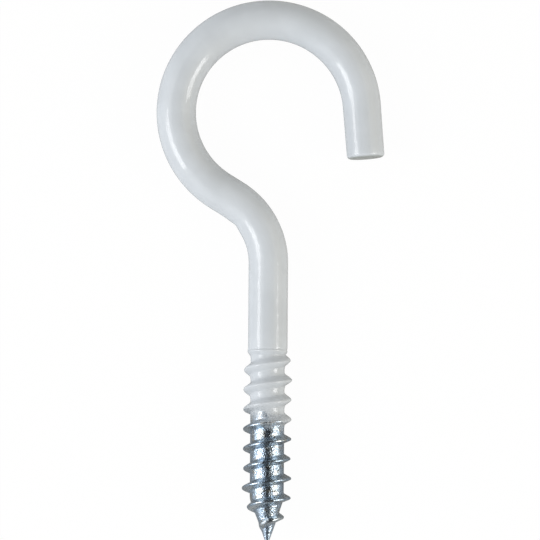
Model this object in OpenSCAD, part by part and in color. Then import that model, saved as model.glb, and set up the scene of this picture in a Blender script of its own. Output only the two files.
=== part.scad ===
// Screw hook: one steel wire with a wood screw's thread rolled on one end and an open bow
// bent at the other. The bow, the shank and the upper turns of the thread wear a white coat,
// and the rest of the thread is bare zinc-plated steel.
//
// The hook lies flat, with its bends in the XY plane. The origin is on the screw's axis
// where the thread meets the shank, +Y runs to the bow and -Y to the point.

/* [Wire] */
// Diameter of the wire with its coat
wire_d = 5.8; // [5.5:0.1:8]
// Straight shank from the thread to the neck
shank_l = 13.3; // [4:0.1:60]
// Length over which the shank narrows to the thread's core
collar_l = 0.5; // [0.3:0.1:1.5]

/* [Bow] */
// Inside diameter of the bow
bow_d = 21.6; // [16:0.1:40]
// Radius of the neck's bend, to the middle of the wire
neck_r = 11.1; // [9:0.1:20]
// Straight wire between the neck's bend and the bow
neck_l = 2.3; // [1:0.1:6]
// Straight arm that ends the hook
arm_l = 8; // [3:0.1:14]
// How far the arm leans away from the shank, in degrees
arm_lean = 4.5; // [0:0.5:20]
// Rounding on the edge of the arm's cut end
end_round = 0.5; // [0.2:0.1:1.5]

/* [Thread] */
// Length of the threaded end with its point
thread_l = 27.8; // [22:0.1:60]
// Diameter over the thread's crest
thread_d = 7.1; // [6.6:0.1:9]
// Diameter of the core between the turns
core_d = 5.1; // [4.4:0.1:5.3]
// Rise of the thread in one turn
pitch = 2.9; // [2.6:0.1:4]
// Width of a bare ridge at its foot
ridge_w = 1.5; // [1.1:0.1:1.9]
// Width of the flat along a ridge's crest
crest_w = 0.25; // [0.15:0.05:0.4]
// Direction in which the ridge leaves the point, in degrees round the axis from +X
ridge_turn = 115; // [0:5:355]
// Turns over which the ridge dies away as it runs into the shank
fade_turns = 1.2; // [0.8:0.1:1.6]

/* [Point] */
// Length of the tapered point
point_l = 6.1; // [4.5:0.1:9]
// Radius that blunts the tip
tip_r = 0.45; // [0.2:0.05:0.8]
// Height above the tip at which the ridge starts
ridge_from = 1.6; // [1:0.1:3]
// Climb over which the ridge reaches its full height
rise_l = 1.9; // [1:0.1:3]

/* [Coat] */
// Length of the bare end, from the tip to the edge of the coat
bare_l = 18; // [12:0.5:20]
// Width of a coated ridge at its foot, where the coat fills the corners
coated_w = 2.2; // [2:0.1:2.4]

/* [Hidden] */

wire_r = wire_d / 2;
core_r = core_d / 2;
bow_r = bow_d / 2 + wire_r;
crest_h = (thread_d - core_d) / 2;

// The neck leans just far enough to bring the bow's middle onto the screw's axis.
reach = bow_r + neck_r;
neck_angle = acos(neck_r / norm([reach, neck_l])) - atan(neck_l / reach);
bow_angle = neck_angle + 180 - arm_lean;

// The straight pieces of the wire run this far into the bends, on a bevelled end, and the
// bends are a hair thinner, so that all of them share volume and the hook is one solid.
lap = 0.05;
lap_skin = 0.005;

// Cone from the blunted tip to the core: its half angle, and where it leaves the tip's round.
tip_reach = [point_l - tip_r, core_r];
point_angle = atan2(tip_reach.y, tip_reach.x) - asin(tip_r / norm(tip_reach));
tip_edge = tip_r * (1 - sin(point_angle));

// The last of the ridge is buried in the shank, this many turns above the collar.
buried_turns = 0.7;
ridge_to = thread_l + buried_turns * pitch;

// The ridge's foot widens over this length where it passes under the coat, and its straight
// flanks turn hollow, as the coat has run into the corners.
coat_l = 1.5;
bare_power = 1;
coated_power = 1.6;

// The skin of the thread is laid in steps, so many to a turn. It begins below the ridge, where
// its turns crowd together so as to close on the tip.
STEPS = 32;
FIRST = -STEPS;
COAT = round(STEPS * (bare_l - ridge_from) / pitch);
LAST = ceil(STEPS * (ridge_to - ridge_from) / pitch);
crowd_z = tip_r;

// Rows down a flank, as shares of the ridge's half width, and rows across the whole skin.
FLANK_ROWS = [1, 0.62, 0.34];
SIDE = len(FLANK_ROWS) + 1;
ROWS = 2 * SIDE + 1;

FINE = 96;

function share(x, length) = max(0, min(1, x / length));
function mix(a, b, t) = a + (b - a) * t;

// Height of the ridge's crest above the tip, at step k of its climb.
function crest_z(k) = ridge_from + pitch * k / STEPS;

// Height above the tip, crowded together near it.
function crowded(z) = z < crowd_z ? crowd_z * exp(z / crowd_z - 1) : z;

// Radius of the core between the ridges, at height z above the tip.
function body_r(z) =
    z < tip_edge ? sqrt(tip_r * tip_r - (tip_r - z) * (tip_r - z)) :
    z < point_l ? core_r - (point_l - z) * tan(point_angle) :
    core_r;

// Point in row m of the thread's skin at step k. Row 0 lies in the groove below the ridge, and
// the other rows go up over it, from foot to foot. Past the last row comes the next turn's row 0.
function thread_point(k, m) =
    m == ROWS ? thread_point(k + STEPS, 0) :
    let (
        z = crest_z(k),
        coat = share(z - bare_l, coat_l),
        height = crest_h * min(share(z - ridge_from, rise_l), share(ridge_to - z, fade_turns * pitch)),
        foot = mix(ridge_w, coated_w, coat) / 2,
        flat = crest_w / 2 / foot,
        rows = concat(FLANK_ROWS, flat),
        across = m == 0 ? 1 : m <= SIDE ? -rows[m - 1] : rows[ROWS - 1 - m],
        rise = pow(1 - max(0, abs(across) - flat) / (1 - flat), mix(bare_power, coated_power, coat)),
        point_z = crowded(m == 0 ? z - pitch / 2 : z + across * foot),
        r = body_r(point_z) + height * rise,
        turn = ridge_turn + 360 * k / STEPS
    )
    [r * cos(turn), r * sin(turn), point_z];

// Solid of the threaded end from step k0 to step k1. Its skin is a ribbon one pitch wide that
// winds up the axis, and a fan from a point on the axis closes each end.
module thread_solid(k0, k1, z0, z1) {
    edge = (k1 - k0 + 1) * ROWS;
    function id(k, m) =
        m == ROWS ? id(k + STEPS, 0) :
        k > k1 ? edge + k - k1 - 1 :
        (k - k0) * ROWS + m;
    function rim(k) = concat(
        [for (j = [0:STEPS]) id(k + j, 0)],
        [for (m = [ROWS - 1:-1:0]) id(k, m)]
    );
    low = rim(k0);
    high = rim(k1);
    hub = edge + STEPS;
    polyhedron(
        points = concat(
            [for (k = [k0:k1], m = [0:ROWS - 1]) thread_point(k, m)],
            [for (k = [k1 + 1:k1 + STEPS]) thread_point(k, 0)],
            [[0, 0, z0], [0, 0, z1]]
        ),
        faces = concat(
            [for (k = [k0:k1 - 1], m = [0:ROWS - 1])
                each [
                    [id(k, m), id(k, m + 1), id(k + 1, m + 1)],
                    [id(k, m), id(k + 1, m + 1), id(k + 1, m)]
                ]],
            [for (i = [1:len(low) - 1]) [hub, low[i - 1], low[i]]],
            [for (i = [1:len(high) - 1]) [hub + 1, high[i], high[i - 1]]]
        )
    );
}

// The bare end: the point and the turns with a blade-like ridge.
module bare_thread() {
    thread_solid(FIRST, COAT, 0, crest_z(COAT));
}

// The coated turns, up to where they run into the shank.
module coated_thread() {
    thread_solid(COAT, LAST, crest_z(COAT), crest_z(LAST));
}

// A bend of the wire that starts at the origin along +Y and turns towards +X.
module bend(radius, angle) {
    translate([radius, 0, 0])
        rotate([0, 0, 180])
            rotate_extrude(angle = -angle, $fn = FINE)
                translate([radius, 0])
                    circle(r = wire_r - lap_skin, $fn = FINE);
}

// A straight piece of the wire that starts at the origin along +Y: its half profile turned
// round the wire's middle.
module turned() {
    rotate([-90, 0, 0])
        rotate_extrude($fn = FINE)
            children();
}

// The shank, whose lower end narrows to slip inside the thread's core.
module shank() {
    turned()
        polygon([
            [0, -collar_l], [core_r - lap, -collar_l],
            [wire_r, 0], [wire_r, shank_l],
            [wire_r - lap, shank_l + lap], [0, shank_l + lap]
        ]);
}

// The straight wire between the neck's bend and the bow.
module neck() {
    turned()
        polygon([
            [0, -lap], [wire_r - lap, -lap],
            [wire_r, 0], [wire_r, neck_l],
            [wire_r - lap, neck_l + lap], [0, neck_l + lap]
        ]);
}

// The straight arm, whose cut end has a rounded edge.
module arm() {
    turned() {
        polygon([
            [0, -lap], [wire_r - lap, -lap],
            [wire_r, 0], [wire_r, arm_l - end_round], [0, arm_l - end_round]
        ]);
        square([wire_r - end_round, arm_l]);
        translate([wire_r - end_round, arm_l - end_round])
            circle(r = end_round, $fn = FINE);
    }
}

// Shank, neck, bow and arm, each placed where the one before it ends.
module hook_wire() {
    shank();
    translate([0, shank_l, 0]) {
        mirror([1, 0, 0])
            bend(neck_r, neck_angle);
        translate(neck_r * [cos(neck_angle) - 1, sin(neck_angle), 0])
            rotate([0, 0, neck_angle]) {
                neck();
                translate([0, neck_l, 0]) {
                    bend(bow_r, bow_angle);
                    translate(bow_r * [1 - cos(bow_angle), sin(bow_angle), 0])
                        rotate([0, 0, -bow_angle])
                            arm();
                }
            }
    }
}

module screw_hook() {
    color("ghostwhite")
        hook_wire();
    rotate([-90, 0, 0])
        translate([0, 0, -thread_l]) {
            color("ghostwhite")
                coated_thread();
            color("lightslategray")
                bare_thread();
        }
}

screw_hook();
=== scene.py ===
"""Screw hook: the white coated bow and shank, the bare zinc thread, and the stage."""

import math

import bpy
import numpy as np
from mathutils import Matrix, Vector


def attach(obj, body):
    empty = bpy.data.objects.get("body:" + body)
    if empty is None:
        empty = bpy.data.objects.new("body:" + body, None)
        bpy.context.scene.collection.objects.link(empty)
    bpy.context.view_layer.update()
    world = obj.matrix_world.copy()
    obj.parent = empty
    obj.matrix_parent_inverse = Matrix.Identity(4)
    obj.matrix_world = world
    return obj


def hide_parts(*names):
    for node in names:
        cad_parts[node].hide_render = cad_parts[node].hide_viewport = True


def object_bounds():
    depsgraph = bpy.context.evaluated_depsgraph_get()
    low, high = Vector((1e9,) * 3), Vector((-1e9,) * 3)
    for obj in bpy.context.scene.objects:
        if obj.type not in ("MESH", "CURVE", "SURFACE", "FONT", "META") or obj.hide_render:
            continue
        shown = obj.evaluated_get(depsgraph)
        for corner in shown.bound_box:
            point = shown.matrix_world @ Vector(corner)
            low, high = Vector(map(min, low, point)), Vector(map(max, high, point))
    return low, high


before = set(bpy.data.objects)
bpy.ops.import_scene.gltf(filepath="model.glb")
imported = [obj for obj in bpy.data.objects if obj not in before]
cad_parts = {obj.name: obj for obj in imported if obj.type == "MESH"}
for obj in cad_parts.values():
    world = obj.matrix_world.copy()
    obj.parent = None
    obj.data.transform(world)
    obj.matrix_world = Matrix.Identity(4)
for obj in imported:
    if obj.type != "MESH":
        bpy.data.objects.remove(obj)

bl_info = {
    "name": "Screw hook",
    "version": (1, 0, 0),
    "blender": (4, 5, 0),
    "location": "3D View > Sidebar > Screw hook",
    "description": "Coated wire hook with a bare zinc-plated thread, and a stage to show it on",
    "category": "Object",
}

MM = 0.001
CAD_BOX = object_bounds()


# ---------------------------------------------------------------------------------------
# Sizes and colours
# ---------------------------------------------------------------------------------------


def length(name, description, default):
    """A length in metres."""
    return bpy.props.FloatProperty(
        name=name, description=description, default=default,
        min=0, precision=5, subtype="DISTANCE", unit="LENGTH",
    )


def share(name, description, default):
    """A share, from none to all."""
    return bpy.props.FloatProperty(
        name=name, description=description, default=default, min=0, max=1, subtype="FACTOR"
    )


def level(name, description, default):
    """A plain number of nought or more."""
    return bpy.props.FloatProperty(name=name, description=description, default=default, min=0)


def angle(name, description, degrees):
    """An angle, whose default is given in degrees."""
    return bpy.props.FloatProperty(
        name=name, description=description, default=math.radians(degrees), subtype="ANGLE"
    )


def colour(name, description, default):
    """A colour without transparency."""
    return bpy.props.FloatVectorProperty(
        name=name, description=description, default=default, size=3, min=0, max=1, subtype="COLOR"
    )


class WireSizes(bpy.types.PropertyGroup):
    """The wire and its bends"""

    diameter: length("Wire", "Diameter of the wire with its coat", 5.8 * MM)
    shank: length("Shank", "Straight shank from the thread to the neck", 13.28 * MM)
    neck_radius: length(
        "Neck radius", "Radius of the neck's bend, to the middle of the wire", 11.1 * MM
    )
    neck: length("Neck", "Straight wire between the neck's bend and the bow", 2.3 * MM)
    bow: length("Bow", "Inside diameter of the bow", 21.6 * MM)
    bow_aside: length(
        "Bow aside", "How far the bow's middle sits beside the screw's axis", 0.05 * MM
    )
    arm: length("Arm", "Straight arm that ends the hook", 7.8 * MM)
    arm_lean: angle("Arm lean", "How far the arm leans away from the shank", 4.7)
    arm_thinner: share("Arm thinner", "How much thinner the wire is drawn at the arm's end", 0.045)
    end_round: length("End rounding", "Rounding on the edge of the arm's cut end", 0.55 * MM)
    dent: length("Dent", "Depth of the bending tool's mark on the inside of the neck", 0.16 * MM)
    dent_at: angle("Dent place", "How far round the neck's bend the tool's mark is", 42)


class ThreadSizes(bpy.types.PropertyGroup):
    """The thread and its point"""

    length: length("Length", "Threaded end with its point", 27.8 * MM)
    crest: length("Crest", "Diameter over the thread's crest", 7.1 * MM)
    core: length("Core", "Diameter of the core between the turns", 5.0 * MM)
    pitch: length("Pitch", "Rise of the thread in one turn", 2.9 * MM)
    flank_up: length("Upper flank", "Reach of a bare ridge's flank towards the shank", 0.72 * MM)
    flank_down: length("Lower flank", "Reach of a bare ridge's flank towards the point", 0.58 * MM)
    point: length("Point", "Length of the tapered point", 6.3 * MM)
    tip: length("Tip", "Radius that blunts the tip", 0.34 * MM)
    aside: length("Point aside", "How far the worn point is bent towards +X", 0.1 * MM)
    start: length(
        "Start", "Height of the crest line above the tip, on the side towards +X", 0.6736 * MM
    )
    crest_flat: length("Crest flat", "Half width of the crest", 0.15 * MM)
    rise_from: length("Ridge start", "Height above the tip at which the ridge starts", 1.95 * MM)
    rise: length("Ridge rise", "Climb over which the ridge reaches its full height", 1.75 * MM)


class CoatSizes(bpy.types.PropertyGroup):
    """The coat on the thread's upper turns"""

    bare: length("Bare end", "From the tip to the middle of the coat's ragged edge", 18 * MM)
    flank_up: length("Upper flank", "Reach of a coated ridge's flank towards the shank", 1.12 * MM)
    flank_down: length(
        "Lower flank", "Reach of a coated ridge's flank towards the point", 1.08 * MM
    )
    sunk: length("Sunk", "How much thinner the coated core is rolled", 0.02 * MM)


class Finishes(bpy.types.PropertyGroup):
    """Colours and gloss"""

    coat: colour("Coat", "Cool white of the coat", (0.568, 0.602, 0.640))
    coat_roughness: share("Coat roughness", "How soft the gloss of the coat is", 0.12)
    # The cut end's dark grey is painted shade on its flat face.
    cut: colour("Cut end", "Thin coat over the arm's cut end", (0.26, 0.285, 0.275))
    zinc: colour("Zinc", "Bright zinc plating", (0.54, 0.64, 0.76))
    zinc_dull: colour("Dull zinc", "Zinc where it has dulled", (0.42, 0.54, 0.67))
    # Painted light: a lighter zinc laid on the ridge's flanks.
    flank_painted_light: colour("Flank", "Dull zinc on the ridge's flanks", (0.64, 0.70, 0.73))
    zinc_stain: colour("Stain", "Small dark stains in the zinc", (0.12, 0.15, 0.20))
    zinc_brown: colour("Brown tint", "Faint brown of the plating", (0.52, 0.52, 0.48))
    floor: colour("Floor", "Pale floor", (0.86, 0.86, 0.86))


class StageSizes(bpy.types.PropertyGroup):
    """Camera, floor, lamps and sky"""

    camera_height: length("Camera distance", "From the hook to the camera", 1500 * MM)
    camera_tilt: angle(
        "Camera tilt", "Lean of the camera from straight above towards the point", 4.7
    )
    camera_roll: angle("Camera roll", "Turn of the camera about its own line of sight", 0.42)
    margin: level("Margin", "Width of the picture as a share of the hook's length", 0.994)
    lamp_distance: length("Lamp distance", "From the hook to each lamp", 400 * MM)
    lamp_width: length("Lamp width", "Width of each lamp", 175 * MM)
    left: level(
        "Left lamp", "Glow of the lamp on the left, in watts per square metre and steradian", 4.3
    )
    left_near: level("Left lamp, near end", "Glow of the left lamp's end on the point's side", 5.6)
    right: level(
        "Right lamp", "Glow of the lamp on the right, in watts per square metre and steradian", 4.2
    )
    right_near: level(
        "Right lamp, near end", "Glow of the right lamp's end on the point's side", 6.2
    )
    sky_left: level("Sky, left", "Glow of the sky on the left", 1.61)
    sky_right: level("Sky, right", "Glow of the sky on the right", 0.97)
    sky_back: level("Sky, far side", "Share of that glow on the bow's side", 0.34)
    sky_front: level("Sky, near side", "Share of that glow on the point's side", 0.65)
    sky_top: level("Sky, overhead", "Share of that glow overhead", 0.06)
    floor_gap: length("Floor gap", "How far the floor lies below the hook", 0.08 * MM)
    floor_white: share(
        "Floor's white", "Share of plain white in the floor that the camera sees", 0.97
    )
    floor_mirrored: share(
        "Floor in reflections", "Share of the floor's glow that reflections find", 0.48
    )
    sky_low: level("Sky, horizon", "Share of the sky that reflections find at the horizon", 0.6)
    sky_gap: level("Sky, gap", "Share of the sky that reflections find between the lamps", 0.17)


GROUPS = {
    "hook_wire": WireSizes,
    "hook_thread": ThreadSizes,
    "hook_coat": CoatSizes,
    "hook_finish": Finishes,
    "hook_stage": StageSizes,
}


# ---------------------------------------------------------------------------------------
# Fine points of the shape
# ---------------------------------------------------------------------------------------

ROWS = 36  # rows of skin across one pitch of the thread
COLUMNS = 96  # columns of skin round the wire
BELOW = 1.5  # pitches of skin below the start of the crest line
TOP = 1.6 * MM  # the wound skin ends this far up the shank
GATHER = 1.35  # how strongly the rows gather towards the crest, where the ridge is sharpest
POLE = 0.002 * MM  # what lies lower than this above the tip goes into its pole
SAME = 0.001 * MM  # places closer than this are one

# Rings of skin along each stretch of the wire.
SHANK_RINGS = 8
NECK_BEND_RINGS = 28
NECK_RINGS = 2
BOW_RINGS = 110
ARM_RINGS = 5

# The thread.
CORE_FILLET = 0.2 * MM  # fillet where the point's cone meets the core
BLADE_ROUND = 0.2  # how much of a bare ridge's height the rounding of its crest takes up
BEND_SHARE = 0.7  # share of the point's length over which it is bent aside
# The turns aren't all rolled to the same height: about where the crest line is so many
# millimetres above the tip, the ridge is higher or lower by a share of its height.
HEIGHT_CHANGES = ((4.9, -0.18), (8.1, 0.12), (11.7, -0.12), (23.9, 0.09), (25.5, -0.08))
HEIGHT_SPREAD = 1.1  # how far each change spreads, in millimetres
# The ridge ends this far above the thread, and dies away over so many pitches.
RIDGE_END = 2 * MM
RIDGE_FADE = 1.2

# The ridge turns from a blade to a hump over a length that starts just below the coat's edge,
# and slants by a share of the core's radius.
COAT_SLANT = 0.5
COAT_FROM = 0.3 * MM
COAT_RUN = 1.5 * MM
# The coat fills the hump's feet, to shares of its height above and below the crest line.
FILL_UP = 0.03
FILL_DOWN = 0.1
FILL_REACH = 1.43 * MM  # how far from the crest line it fills them
FILL_RUN = 0.45 * MM  # how far back from there it reaches these shares
FILL_SOFT = 0.03

# The collar where the coated thread meets the shank: how far below the thread's end it is
# blended in and its shoulder starts to rise, and how far above it the lip and the crease are.
COLLAR_FROM = 1.2 * MM
COLLAR_FILLET = 0.05 * MM
SHOULDER_BELOW = 0.5 * MM
SHOULDER_RISE = 0.75 * MM
LIP, LIP_AT, LIP_WIDE = 0.08 * MM, 0.22 * MM, 0.26 * MM
CREASE, CREASE_AT, CREASE_WIDE = 0.09 * MM, 0.5 * MM, 0.1 * MM

# The arm's cut end, and the bending tool's mark.
END_SEGMENTS = 6
END_INSETS = (0.25 * MM, 0.9 * MM)
CUT_SHADE_RUN = 0.25 * MM  # the painted shade on the cut end runs out this far up the arm
THIN_FROM = math.radians(60)  # the wire starts to thin this far up the bow on the arm's side
DENT_WIDE = math.radians(5)

# The faces are sorted by how far they are from each of these places in turn, so that those at
# the same distance from one aren't from the other.
SORT_FROM = ((0.123, 0.0456, 0.0789), (-0.0987, 0.0321, 0.0654))


# ---------------------------------------------------------------------------------------
# Small helpers
# ---------------------------------------------------------------------------------------


def deselect():
    """Leaves edit mode, with nothing selected."""
    if bpy.context.object and bpy.context.object.mode != "OBJECT":
        bpy.ops.object.mode_set(mode="OBJECT")
    bpy.ops.object.select_all(action="DESELECT")


def places(obj):
    """The vertices' places as an array."""
    co = np.empty(len(obj.data.vertices) * 3)
    obj.data.vertices.foreach_get("co", co)
    return co.reshape(-1, 3)


def put(obj, co):
    """Moves the vertices to these places."""
    obj.data.vertices.foreach_set("co", np.asarray(co, dtype=np.float32).ravel())
    obj.data.update()


def mark(obj, name, values):
    """Keeps a number for each vertex, for the finish to read."""
    attribute = obj.data.attributes.new(name, "FLOAT", "POINT")
    attribute.data.foreach_set("value", values.astype(np.float32))


def select(obj, chosen):
    """Selects only these vertices, in edit mode."""
    bpy.ops.object.mode_set(mode="EDIT")
    bpy.ops.mesh.select_mode(type="VERT")
    bpy.ops.mesh.select_all(action="DESELECT")
    bpy.ops.object.mode_set(mode="OBJECT")
    obj.data.vertices.foreach_set("select", np.asarray(chosen, dtype=bool))
    bpy.ops.object.mode_set(mode="EDIT")
    bpy.ops.mesh.select_mode(type="VERT")


def merge(obj):
    """Joins vertices that share a place."""
    deselect()
    bpy.context.view_layer.objects.active = obj
    obj.select_set(True)
    bpy.ops.object.mode_set(mode="EDIT")
    bpy.ops.mesh.select_all(action="SELECT")
    bpy.ops.mesh.remove_doubles(threshold=SAME)
    bpy.ops.object.mode_set(mode="OBJECT")


def run(along, distance, rings):
    """Extrudes the selected ring in a straight line."""
    for _ in range(rings):
        bpy.ops.mesh.extrude_region_move(
            TRANSFORM_OT_translate={"value": along * (distance / rings)}
        )


def smooth_step(x):
    """Rises from 0 to 1 as x does, and levels out at both."""
    x = np.clip(x, 0, 1)
    return x * x * (3 - 2 * x)


def smooth_max(a, b, soft):
    """The greater of a and b, with a fillet of size soft where they meet."""
    h = np.clip(0.5 + (a - b) / (2 * soft), 0, 1)
    return b + (a - b) * h + soft * h * (1 - h)


def bell(x, middle, width):
    """A bell curve of height 1."""
    return np.exp(-(((x - middle) / width) ** 2))


# ---------------------------------------------------------------------------------------
# The hook's shape
# ---------------------------------------------------------------------------------------


def wound_skin(thread):
    """A sleeve round the screw's axis whose rows wind up it as the thread does.

    Returns it with the place where its first row starts."""
    pitch = thread.pitch
    low = thread.start - thread.length - BELOW * pitch
    turns = math.ceil((TOP - low) / pitch)
    deselect()
    bpy.ops.mesh.primitive_plane_add(
        size=pitch, location=(thread.core / 2 + pitch / 2, low + pitch / 2, 0)
    )
    hook = bpy.context.object
    hook.name = hook.data.name = "coated_hook"
    bpy.ops.object.transform_apply(location=True, rotation=False, scale=False)
    # Only the plane's inner edge is wound.
    select(hook, places(hook)[:, 0] > thread.core / 2 + pitch / 2)
    bpy.ops.mesh.delete(type="VERT")
    bpy.ops.mesh.select_all(action="SELECT")
    bpy.ops.mesh.subdivide(number_cuts=ROWS - 1)
    bpy.ops.object.mode_set(mode="OBJECT")
    wind = hook.modifiers.new("wind", "SCREW")
    wind.axis = "Y"
    wind.angle = math.tau
    wind.screw_offset = pitch
    wind.iterations = turns
    wind.steps = wind.render_steps = COLUMNS
    bpy.ops.object.modifier_apply(modifier=wind.name)
    merge(hook)
    return hook, low


def core_radius(z, thread, coat):
    """Radius of the point and the core, at height z above the tip."""
    tip, core = thread.tip, thread.core / 2
    straight_run = thread.point - tip
    half_angle = math.atan2(core, straight_run) - math.asin(tip / math.hypot(core, straight_run))
    round_tip = np.sqrt(np.maximum(tip * tip - (tip - z) ** 2, 0))
    cone = core - (thread.point - z) * math.tan(half_angle)
    straight = core - coat.sunk * smooth_step((z - coat.bare) / thread.pitch)
    body = -smooth_max(-cone, -straight, CORE_FILLET)
    return np.where(z < tip * (1 - math.sin(half_angle)), round_tip, body)


def collar_radius(z, turn, thread, wire, coat):
    """Radius of the shank's lower end: a shoulder with a lip on one side, and a fine crease."""
    above = z - thread.length
    core = thread.core / 2 - coat.sunk
    climb = smooth_step((above + SHOULDER_BELOW) / SHOULDER_RISE)
    shoulder = core + (wire.diameter / 2 - core) * climb
    side = 0.5 - 0.5 * np.cos(turn)
    lip = LIP * side * bell(above, LIP_AT, LIP_WIDE)
    return shoulder + lip - CREASE * bell(above, CREASE_AT, CREASE_WIDE)


def ridge_profile(off_crest, coated, thread, coat):
    """Share of the ridge's height at this distance above its crest line.

    A bare ridge is a blade with straight flanks, and a coated one a hump with hollow feet."""
    up = off_crest > 0
    off = np.abs(off_crest)
    foot = np.where(up, thread.flank_up, thread.flank_down)
    slope = (foot - off) / (foot - thread.crest_flat)
    blade = np.clip(1 - smooth_max(1 - slope, np.zeros_like(slope), BLADE_ROUND), 0, 1)
    hump = smooth_step(1 - off / np.where(up, coat.flank_up, coat.flank_down))
    fill = np.where(up, FILL_UP, FILL_DOWN) * np.clip((FILL_REACH - off) / FILL_RUN, 0, 1)
    hump = smooth_max(hump, fill, FILL_SOFT)
    return blade + (hump - blade) * coated


def ridge_height(crest, thread):
    """Height of the ridge where its crest line is this high above the tip.

    Returns it with the share to which the ridge has risen there."""
    starting = np.clip((crest - thread.rise_from) / thread.rise, 0, 1)
    ending = np.clip(
        (thread.length + RIDGE_END - crest) / (RIDGE_FADE * thread.pitch), 0, 1
    )
    risen = np.minimum(starting, ending)
    height = (thread.crest - thread.core) / 2 * risen
    for middle, change in HEIGHT_CHANGES:
        height *= 1 + change * bell(crest / MM, middle, HEIGHT_SPREAD)
    return height, risen


def shape_thread(hook, low, thread, coat, wire):
    """Draws the sleeve in to the core and the point, and raises the ridge along its rows."""
    co = places(hook)
    pitch = thread.pitch
    turn = np.arctan2(-co[:, 2], co[:, 0])
    row = np.round(((co[:, 1] - low) / pitch - turn / math.tau) % 1 * ROWS) % ROWS
    across = row / ROWS * 2 - 1
    crest = co[:, 1] + thread.length - across * pitch / 2
    off_crest = np.sign(across) * np.abs(across) ** GATHER * pitch / 2
    z = crest + off_crest
    # Below the tip the rows crowd together, and the lowest all meet in its pole.
    crowd = thread.tip
    z = np.where(z < crowd, (np.maximum(z, -crowd) + crowd) ** 2 / (4 * crowd), z)
    z = np.where(z < POLE, 0, z)
    z = np.minimum(z, thread.length + TOP)

    slant = z - coat.bare + COAT_SLANT * thread.core / 2 * np.cos(turn)
    coated = smooth_step((slant + COAT_FROM) / COAT_RUN)
    profile = ridge_profile(off_crest, coated, thread, coat)
    height, risen = ridge_height(crest, thread)
    radius = core_radius(z, thread, coat) + height * profile
    collar = collar_radius(z, turn, thread, wire, coat)
    radius = np.where(
        z > thread.length - COLLAR_FROM, smooth_max(radius, collar, COLLAR_FILLET), radius
    )
    radius = np.where(z <= 0, 0, radius)
    radius = np.where(z >= thread.length + TOP - SAME, wire.diameter / 2, radius)
    bend = BEND_SHARE * thread.point
    aside = thread.aside * smooth_step((thread.point - z) / bend)
    x = radius * np.cos(turn) + aside
    put(hook, np.stack([x, z - thread.length, -radius * np.sin(turn)], axis=1))
    # The finish tells flanks and crests from the core by this share of the ridge's height.
    mark(hook, "ridge", profile * risen)
    merge(hook)


def draw_wire(hook, wire):
    """Runs the open ring at the thread's top on along the shank, the neck, the bow and the arm."""
    bow = wire.bow / 2 + wire.diameter / 2
    reach = bow + wire.neck_radius
    # The neck leans just far enough to put the bow's middle so far beside the screw's axis.
    lean = math.acos((wire.neck_radius - wire.bow_aside) / math.hypot(reach, wire.neck))
    lean -= math.atan(wire.neck / reach)
    sweep = lean + math.pi - wire.arm_lean
    upright = (0, 0, 1)

    select(hook, np.zeros(len(hook.data.vertices)))
    bpy.ops.mesh.select_non_manifold()
    run(Vector((0, 1, 0)), wire.shank - TOP, SHANK_RINGS)
    centre = Vector((-wire.neck_radius, wire.shank, 0))
    bpy.ops.mesh.spin(steps=NECK_BEND_RINGS, angle=-lean, center=centre, axis=upright)
    place = centre + wire.neck_radius * Vector((math.cos(lean), math.sin(lean), 0))
    along = Vector((-math.sin(lean), math.cos(lean), 0))
    run(along, wire.neck, NECK_RINGS)
    place += along * wire.neck
    centre = place + bow * Vector((along.y, -along.x, 0))
    bpy.ops.mesh.spin(steps=BOW_RINGS, angle=sweep, center=centre, axis=upright)
    place = centre + bow * Vector((math.cos(wire.arm_lean), math.sin(wire.arm_lean), 0))
    along = Vector((math.sin(wire.arm_lean), -math.cos(wire.arm_lean), 0))
    run(along, wire.arm, ARM_RINGS)
    close_end(hook, wire, np.array(place + along * wire.arm), np.array(along))
    thin_arm(hook, wire, bow, np.array(centre), np.array(place), np.array(along))
    dent_neck(hook, wire)


def close_end(hook, wire, end, along):
    """Closes the arm's open ring with a flat face and rounds its edge."""
    bpy.ops.mesh.edge_face_add()
    bpy.ops.mesh.bevel(offset=wire.end_round, segments=END_SEGMENTS, affect="EDGES")
    bpy.ops.object.mode_set(mode="OBJECT")
    select(hook, np.abs((places(hook) - end) @ along) < SAME)
    bpy.ops.mesh.select_mode(type="FACE")
    for thickness in END_INSETS:
        bpy.ops.mesh.inset(thickness=thickness)
    bpy.ops.object.mode_set(mode="OBJECT")
    # The finish darkens the flat of the cut end by this, as painted shade.
    from_end = places(hook) - end
    near = np.linalg.norm(from_end, axis=1) < wire.diameter
    mark(hook, "cut", smooth_step(1 + from_end @ along / CUT_SHADE_RUN) * near)


def thin_arm(hook, wire, bow, centre, place, along):
    """Draws the wire thinner little by little, from the last of the bow to the arm's end."""
    co = places(hook)
    out = co - centre
    turn = np.arctan2(out[:, 1], out[:, 0])
    down = (co - place) @ along
    on_arm = (down > 0) & (out[:, 0] > bow / 2)
    on_bow = ~on_arm & (turn > 0) & (turn < THIN_FROM)
    ring = bow * np.stack([np.cos(turn), np.sin(turn), 0 * turn], axis=1) + centre
    line = place + down[:, None] * along
    arc = bow * (THIN_FROM - wire.arm_lean)
    way = np.where(on_arm, arc + down, bow * (THIN_FROM - turn)) / (arc + wire.arm)
    share_left = 1 - wire.arm_thinner * smooth_step(way)
    middle = np.where(on_arm[:, None], line, ring)
    moved = middle + (co - middle) * share_left[:, None]
    put(hook, np.where((on_arm | on_bow)[:, None], moved, co))


def dent_neck(hook, wire):
    """Presses the bending tool's mark into the inside of the neck."""
    co = places(hook)
    out = co - np.array((-wire.neck_radius, wire.shank, 0))
    away = np.hypot(out[:, 0], out[:, 1])
    turn = np.arctan2(out[:, 1], out[:, 0])
    inside = np.clip((wire.neck_radius - away) / (wire.diameter / 2), 0, 1)
    depth = wire.dent * bell(turn, wire.dent_at, DENT_WIDE) * inside
    depth[(away < wire.neck_radius - wire.diameter) | (out[:, 1] < 0)] = 0
    co[:, :2] += out[:, :2] / away[:, None] * depth[:, None]
    put(hook, co)


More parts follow.
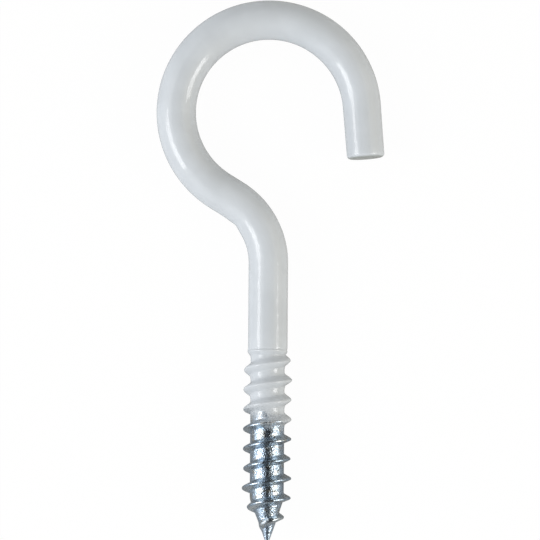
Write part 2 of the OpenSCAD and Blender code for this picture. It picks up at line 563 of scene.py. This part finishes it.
def sort_faces(cursor):
    """Puts the faces in a fixed order, as extruding and spinning leave them in any order."""
    kept = cursor.location.copy()
    for place in SORT_FROM:
        cursor.location = place
        bpy.ops.mesh.sort_elements(type="CURSOR_DISTANCE", elements={"FACE"})
    cursor.location = kept


# ---------------------------------------------------------------------------------------
# The hook's finish
# ---------------------------------------------------------------------------------------


# The coat's edge slants by a share of the distance across, and its middle line lies this many
# millimetres nearer to the tip than the length of the bare end.
EDGE_SLANT = 0.32
EDGE_LOWER = 0.15
# Two grains make the edge ragged. A grain is its scale per millimetre, its detail and, where
# it isn't 0.5, its roughness.
WAVY_EDGE, WAVY_AMOUNT = (0.6, 2.0), 2.4
FINE_EDGE, FINE_AMOUNT = (4.0, 2.0, 0.6), 4.5
# From where to where a thin film comes to cover the metal in part, the coat closes and it
# thickens, in millimetres above the edge's middle line.
FILM, FILM_COVER = (-1.4, -0.2), 0.55
CLOSING = (-0.6, 0.7)
THICKENING = (0.0, 1.9)
# Share of the coat's brightness that is left where it is thin, and where it is cloudy.
THIN_COAT = 0.72
CLOUDED_COAT = 0.95

# Patches: the grain, the limits between which a patch rises, and how strong it gets.
CLOUDS = (0.22, 2.0), (0.35, 0.65)
MOTTLE = (2.6, 3.0, 0.55), (0.36, 0.6)
BROWN = (1.1, 1.0), (0.56, 0.68), 0.8
STAINS = (4.2, 2.0, 0.6), (0.56, 0.64), 0.8

# The zinc's roughness where it is dull and where it is bright. The flanks lie between the
# foot and the crest, which are in shares of the ridge's height.
ZINC_ROUGHNESS = (0.28, 0.16)
FOOT, CREST = (0.04, 0.3), (0.84, 1.0)
# How much of the painted light on the flanks is laid over the zinc.
FLANK_LIGHT_SHARE = 0.75

# Relief: the grain, and its depth in millimetres. The specks are shallower up on the ridge.
ORANGE_PEEL, PEEL_DEPTH = (0.8, 1.0), 0.03
UNEVEN, UNEVEN_DEPTH = (1.4, 1.0), 0.07
SPECKS, SPECK_DEPTHS, SPECK_RUN = (4.5, 1.5, 0.6), (0.08, 0.04), (0.1, 0.6)


class Nodes:
    """Adds nodes to the tree of a material or a world, which it empties first.

    An input is a value or another node's output, and what a method returns is an output."""

    # The sockets of a Mix node: its two inputs and its output.
    MIX_SOCKETS = {"FLOAT": (2, 3, 0), "VECTOR": (4, 5, 1), "RGBA": (6, 7, 2)}

    def __init__(self, owner):
        owner.use_nodes = True
        self.tree = owner.node_tree
        self.tree.nodes.clear()

    def add(self, kind, inputs=(), **settings):
        """A new node, with its inputs by name or number. It returns all its outputs."""
        made = self.tree.nodes.new(kind)
        for key, value in settings.items():
            setattr(made, key, value)
        for key, value in dict(inputs).items():
            if isinstance(value, bpy.types.NodeSocket):
                self.tree.links.new(value, made.inputs[key])
            else:
                made.inputs[key].default_value = value
        return made.outputs

    def math(self, operation, a, b):
        """What the operation makes of two numbers."""
        return self.add("ShaderNodeMath", {0: a, 1: b}, operation=operation)[0]

    def times(self, a, b):
        """One number times the other."""
        return self.math("MULTIPLY", a, b)

    def ramp(self, value, low, high, to_low=0.0, to_high=1.0):
        """Goes smoothly from to_low to to_high as the value goes from low to high."""
        limits = {"From Min": low, "From Max": high, "To Min": to_low, "To Max": to_high}
        return self.add(
            "ShaderNodeMapRange", {"Value": value, **limits}, interpolation_type="SMOOTHSTEP"
        )["Result"]

    def mix(self, factor, a, b, kind="RGBA"):
        """From a to b as the factor goes from 0 to 1."""
        first, second, result = self.MIX_SOCKETS[kind]
        inputs = {0: factor, first: a, second: b}
        return self.add("ShaderNodeMix", inputs, data_type=kind)[result]

    def grain(self, vector, scale, detail, roughness=0.5):
        """Cloudy noise between 0 and 1, whose middle is 0.5."""
        inputs = {"Vector": vector, "Scale": scale, "Detail": detail, "Roughness": roughness}
        return self.add("ShaderNodeTexNoise", inputs)["Fac"]

    def patches(self, vector, grain, limits, most=1.0):
        """Soft patches, which rise from nought to most as the grain crosses its limits."""
        return self.ramp(self.grain(vector, *grain), *limits, 0.0, most)

    def ragged(self, vector, grain, amount):
        """The grain about nought, times an amount."""
        return self.times(self.math("SUBTRACT", self.grain(vector, *grain), 0.5), amount)

    def bump(self, height, distance):
        """The surface's normal, where the height raises it by so much of the distance."""
        inputs = {"Height": height, "Strength": 1.0, "Distance": distance}
        return self.add("ShaderNodeBump", inputs)["Normal"]

    def attribute(self, name):
        """A number that the mesh keeps for each vertex."""
        return self.add("ShaderNodeAttribute", attribute_name=name)["Fac"]


def opaque(colour, brightness=1.0):
    """A colour as a node takes it, a little darker if asked."""
    return (*(c * brightness for c in colour), 1)


def coat_cover(nodes, mm, thread, coat):
    """Where the coat is, and where it is thick. It ends in a slanting, ragged edge."""
    axes = nodes.add("ShaderNodeSeparateXYZ", {"Vector": mm})
    slant = nodes.math("ADD", axes["Y"], nodes.times(axes["X"], EDGE_SLANT))
    edge = nodes.math("ADD", slant, (thread.length - coat.bare) / MM + EDGE_LOWER)
    wavy = nodes.ragged(mm, WAVY_EDGE, WAVY_AMOUNT)
    fine = nodes.ragged(mm, FINE_EDGE, FINE_AMOUNT)
    edge = nodes.math("ADD", edge, nodes.math("ADD", wavy, fine))
    film = nodes.ramp(edge, *FILM, 0.0, FILM_COVER)
    coated = nodes.math("MAXIMUM", nodes.ramp(edge, *CLOSING), film)
    thick = nodes.ramp(edge, *THICKENING)
    return coated, thick


def coat_colour(nodes, mm, thick, finish):
    """Faintly cloudy white, duller where the coat is thin, with painted shade on the arm's cut
    end.
    """
    clouds = nodes.patches(mm, *CLOUDS)
    white = nodes.mix(clouds, opaque(finish.coat), opaque(finish.coat, CLOUDED_COAT))
    white = nodes.mix(thick, opaque(finish.coat, THIN_COAT), white)
    # Painted shade: the flat of the cut end turns dark grey.
    return nodes.mix(nodes.attribute("cut"), white, opaque(finish.cut))


def zinc_colour(nodes, mm, ridge, mottle, finish):
    """Mottled zinc with a brown tint and stains, and painted light on the ridge's flanks: a
    lighter zinc there.
    """
    zinc = nodes.mix(mottle, opaque(finish.zinc_dull), opaque(finish.zinc))
    zinc = nodes.mix(nodes.patches(mm, *BROWN), zinc, opaque(finish.zinc_brown))
    flank = nodes.math("SUBTRACT", nodes.ramp(ridge, *FOOT), nodes.ramp(ridge, *CREST))
    # Painted light: the flanks get a lighter zinc.
    zinc = nodes.mix(nodes.times(flank, FLANK_LIGHT_SHARE), zinc, opaque(finish.flank_painted_light))
    return nodes.mix(nodes.patches(mm, *STAINS), zinc, opaque(finish.zinc_stain))


def surface_normal(nodes, mm, ridge, coated):
    """Pitted and uneven zinc, and a coat with a faint orange peel."""
    orange_peel = nodes.bump(nodes.grain(mm, *ORANGE_PEEL), PEEL_DEPTH * MM)
    uneven = nodes.times(nodes.grain(mm, *UNEVEN), UNEVEN_DEPTH)
    speck_depth = nodes.ramp(ridge, *SPECK_RUN, *SPECK_DEPTHS)
    specks = nodes.times(nodes.grain(mm, *SPECKS), speck_depth)
    pitted = nodes.bump(nodes.math("ADD", uneven, specks), MM)
    return nodes.mix(coated, pitted, orange_peel, "VECTOR")


def coated_zinc(finish, thread, coat):
    """The material of the whole hook: a glossy coat that gives way to bare zinc."""
    material = bpy.data.materials.new("coated_zinc")
    nodes = Nodes(material)
    place = nodes.add("ShaderNodeTexCoord")["Object"]
    to_mm = (1 / MM, 1 / MM, 1 / MM)
    mm = nodes.add("ShaderNodeMapping", {"Vector": place, "Scale": to_mm})["Vector"]
    ridge = nodes.attribute("ridge")
    mottle = nodes.patches(mm, *MOTTLE)
    coated, thick = coat_cover(nodes, mm, thread, coat)
    white = coat_colour(nodes, mm, thick, finish)
    zinc = zinc_colour(nodes, mm, ridge, mottle, finish)
    zinc_roughness = nodes.ramp(mottle, 0.0, 1.0, *ZINC_ROUGHNESS)
    shader = nodes.add(
        "ShaderNodeBsdfPrincipled",
        {
            "Base Color": nodes.mix(coated, zinc, white),
            "Metallic": nodes.math("SUBTRACT", 1.0, coated),
            "Roughness": nodes.mix(coated, zinc_roughness, finish.coat_roughness, "FLOAT"),
            "IOR": 1.5,
            "Normal": surface_normal(nodes, mm, ridge, coated),
        },
    )
    nodes.add("ShaderNodeOutputMaterial", {"Surface": shader["BSDF"]})
    return material


class HOOK_OT_hook(bpy.types.Operator):
    """Models the wire, its bends and the thread as one closed skin, and gives it its finish"""

    bl_idname = "screw_hook.hook"
    bl_label = "Hook"

    def execute(self, context):
        scene = context.scene
        wire, thread, coat = scene.hook_wire, scene.hook_thread, scene.hook_coat
        hook, low = wound_skin(thread)
        shape_thread(hook, low, thread, coat, wire)
        draw_wire(hook, wire)
        bpy.ops.object.mode_set(mode="EDIT")
        bpy.ops.mesh.select_all(action="SELECT")
        bpy.ops.mesh.normals_make_consistent(inside=False)
        sort_faces(scene.cursor)
        bpy.ops.object.mode_set(mode="OBJECT")
        bpy.ops.object.shade_smooth()
        hook.data.materials.append(coated_zinc(scene.hook_finish, thread, coat))
        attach(hook, "root")
        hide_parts("screw_hook")
        deselect()
        return {"FINISHED"}


# ---------------------------------------------------------------------------------------
# The stage
# ---------------------------------------------------------------------------------------

AIM_X, AIM_Y = -0.03 * MM, 0.115 * MM  # how far from the middle of the box the camera aims
SENSOR = 36  # width of the camera's sensor, in millimetres
NEAREST, FURTHEST = 0.1, 20  # what the camera sees, in metres
FLOOR_SIZE = 4  # in metres

# Each side's lamp is bent: three directions from the hook, with a strip from each to the next.
LEFT_LAMP = ((-0.87, 0.08, 0.47), (-0.80, -0.13, 0.56), (-0.69, -0.34, 0.62))
RIGHT_LAMP = ((0.90, 0.03, 0.42), (0.84, -0.22, 0.46), (0.74, -0.46, 0.49))

# Where the sky's glow changes, in the parts x, y and z of the way that one looks, or in -x
# from the gap to the left.
LEFT_TO_RIGHT = (-0.8, 0.8)
TO_FAR_SIDE = (0.1, 0.9)
FROM_NEAR_SIDE = (-0.9, -0.1)
TO_OVERHEAD = (0.78, 0.95)
GAP_TO_LEFT = (0.30, 0.58)
GAP_TO_RIGHT = (0.42, 0.70)
FROM_HORIZON = (0.0, 0.35)
TO_WARM = (0.0, 0.9)
COOL = (0.985, 0.995, 1, 1)
WARM = (1, 0.91, 0.72, 1)


def add_camera(scene, stage, aim):
    """A camera that looks down on the hook, whose length fills the picture."""
    low, high = CAD_BOX
    tilt = Matrix.Rotation(stage.camera_tilt, 3, "X")
    look = tilt @ Matrix.Rotation(stage.camera_roll, 3, "Z")
    deselect()
    bpy.ops.object.camera_add(
        location=aim + look.col[2] * stage.camera_height, rotation=look.to_euler()
    )
    camera = bpy.context.object
    camera.name = "camera"
    camera.data.sensor_width = SENSOR
    camera.data.lens = SENSOR * stage.camera_height / ((high.y - low.y) * stage.margin)
    camera.data.clip_start, camera.data.clip_end = NEAREST, FURTHEST
    scene.camera = camera


def seen_directly(nodes, path):
    """One for what the camera sees, by itself or through glass, and nought for other light."""
    return nodes.math("MAXIMUM", path["Is Camera Ray"], path["Is Transmission Ray"])


def floor_paper(finish, stage):
    """Matt paper that the camera sees as nearly white, and that is darker in reflections."""
    paper = bpy.data.materials.new("floor_paper")
    nodes = Nodes(paper)
    path = nodes.add("ShaderNodeLightPath")
    tone = nodes.mix(
        path["Is Glossy Ray"], opaque(finish.floor), opaque(finish.floor, stage.floor_mirrored)
    )
    matt = nodes.add("ShaderNodeBsdfDiffuse", {"Color": tone})[0]
    white = nodes.add("ShaderNodeEmission", {"Color": (1, 1, 1, 1), "Strength": 1.0})[0]
    seen = nodes.times(seen_directly(nodes, path), stage.floor_white)
    surface = nodes.add("ShaderNodeMixShader", {0: seen, 1: matt, 2: white})[0]
    nodes.add("ShaderNodeOutputMaterial", {"Surface": surface})
    return paper


def add_floor(finish, stage):
    """A wide floor just below the hook."""
    deselect()
    bpy.ops.mesh.primitive_plane_add(
        size=FLOOR_SIZE, location=(0, 0, CAD_BOX[0].z - stage.floor_gap)
    )
    floor = bpy.context.object
    floor.name = "floor"
    floor.data.materials.append(floor_paper(finish, stage))


def strip_lamp(name, one, other, width, glow, aim):
    """A long soft lamp from one place to the other, turned to shine on aim."""
    middle = (one + other) / 2
    back = (middle - aim).normalized()
    along = (other - one - back * (other - one).dot(back)).normalized()
    turned = Matrix((along, back.cross(along), back)).transposed()
    deselect()
    bpy.ops.object.light_add(type="AREA", location=middle, rotation=turned.to_euler())
    lamp = bpy.context.object
    lamp.name = name
    lamp.data.shape = "RECTANGLE"
    lamp.data.size = (other - one).length
    lamp.data.size_y = width
    lamp.data.energy = glow * math.pi * lamp.data.size * lamp.data.size_y


def add_lamps(stage, aim):
    """A bent lamp on each side, brighter at its end on the point's side."""
    for name, ways, glow, near_glow in (
        ("left_lamp", LEFT_LAMP, stage.left, stage.left_near),
        ("right_lamp", RIGHT_LAMP, stage.right, stage.right_near),
    ):
        far, bend, near = (aim + stage.lamp_distance * Vector(way).normalized() for way in ways)
        strip_lamp(name, far, bend, stage.lamp_width, glow, aim)
        strip_lamp(name + "_near", bend, near, stage.lamp_width, near_glow, aim)


def add_sky(scene, stage):
    """A soft sky that the camera sees as white, with a dark gap overhead in reflections."""
    world = bpy.data.worlds.new("sky")
    scene.world = world
    nodes = Nodes(world)
    place = nodes.add("ShaderNodeTexCoord")["Generated"]
    way = nodes.add("ShaderNodeSeparateXYZ", {"Vector": place})
    path = nodes.add("ShaderNodeLightPath")
    seen = seen_directly(nodes, path)

    sides = nodes.ramp(way["X"], *LEFT_TO_RIGHT, stage.sky_left, stage.sky_right)
    glow = nodes.times(sides, nodes.ramp(way["Y"], *TO_FAR_SIDE, 1.0, stage.sky_back))
    glow = nodes.times(glow, nodes.ramp(way["Y"], *FROM_NEAR_SIDE, stage.sky_front, 1.0))
    glow = nodes.times(glow, nodes.ramp(way["Z"], *TO_OVERHEAD, 1.0, stage.sky_top))

    leftward = nodes.times(way["X"], -1.0)
    left_of_gap = nodes.ramp(leftward, *GAP_TO_LEFT, stage.sky_gap, 1.0)
    right_of_gap = nodes.ramp(way["X"], *GAP_TO_RIGHT, stage.sky_gap, 1.0)
    mirrored = nodes.math("MAXIMUM", left_of_gap, right_of_gap)
    horizon = nodes.ramp(way["Z"], *FROM_HORIZON, stage.sky_low, 1.0)
    mirrored = nodes.times(mirrored, horizon)
    glow = nodes.times(glow, nodes.mix(path["Is Glossy Ray"], 1.0, mirrored, "FLOAT"))

    unseen = nodes.math("SUBTRACT", 1.0, seen)
    warmth = nodes.times(nodes.ramp(way["X"], *TO_WARM), unseen)
    inputs = {
        "Color": nodes.mix(warmth, COOL, WARM),
        "Strength": nodes.mix(seen, glow, 1.0, "FLOAT"),
    }
    sky = nodes.add("ShaderNodeBackground", inputs)[0]
    nodes.add("ShaderNodeOutputWorld", {"Surface": sky})


class HOOK_OT_stage(bpy.types.Operator):
    """Sets up the camera that looks down on the hook, the pale floor, the lamps and the sky"""

    bl_idname = "screw_hook.stage"
    bl_label = "Stage"

    def execute(self, context):
        scene = context.scene
        stage = scene.hook_stage
        middle = (CAD_BOX[0] + CAD_BOX[1]) / 2
        aim = Vector((middle.x + AIM_X, middle.y + AIM_Y, 0))
        add_camera(scene, stage, aim)
        add_floor(scene.hook_finish, stage)
        add_lamps(stage, aim)
        add_sky(scene, stage)
        scene.view_settings.view_transform = "Standard"
        return {"FINISHED"}


class HOOK_PT_panel(bpy.types.Panel):
    """Sizes and finishes of the hook, with the steps that make it"""

    bl_idname = "HOOK_PT_panel"
    bl_label = "Screw hook"
    bl_space_type = "VIEW_3D"
    bl_region_type = "UI"
    bl_category = "Screw hook"

    def draw(self, context):
        for name, group in GROUPS.items():
            box = self.layout.box()
            for prop in group.__annotations__:
                box.prop(getattr(context.scene, name), prop)
        self.layout.operator(HOOK_OT_stage.bl_idname)
        self.layout.operator(HOOK_OT_hook.bl_idname)


CLASSES = (*GROUPS.values(), HOOK_OT_stage, HOOK_OT_hook, HOOK_PT_panel)


def register():
    for cls in CLASSES:
        bpy.utils.register_class(cls)
    for name, group in GROUPS.items():
        setattr(bpy.types.Scene, name, bpy.props.PointerProperty(type=group))


def unregister():
    for name in GROUPS:
        delattr(bpy.types.Scene, name)
    for cls in reversed(CLASSES):
        bpy.utils.unregister_class(cls)


def main():
    """Makes the stage and the hook."""
    register()
    bpy.ops.screw_hook.stage()
    bpy.ops.screw_hook.hook()


if __name__ == "__main__":
    main()
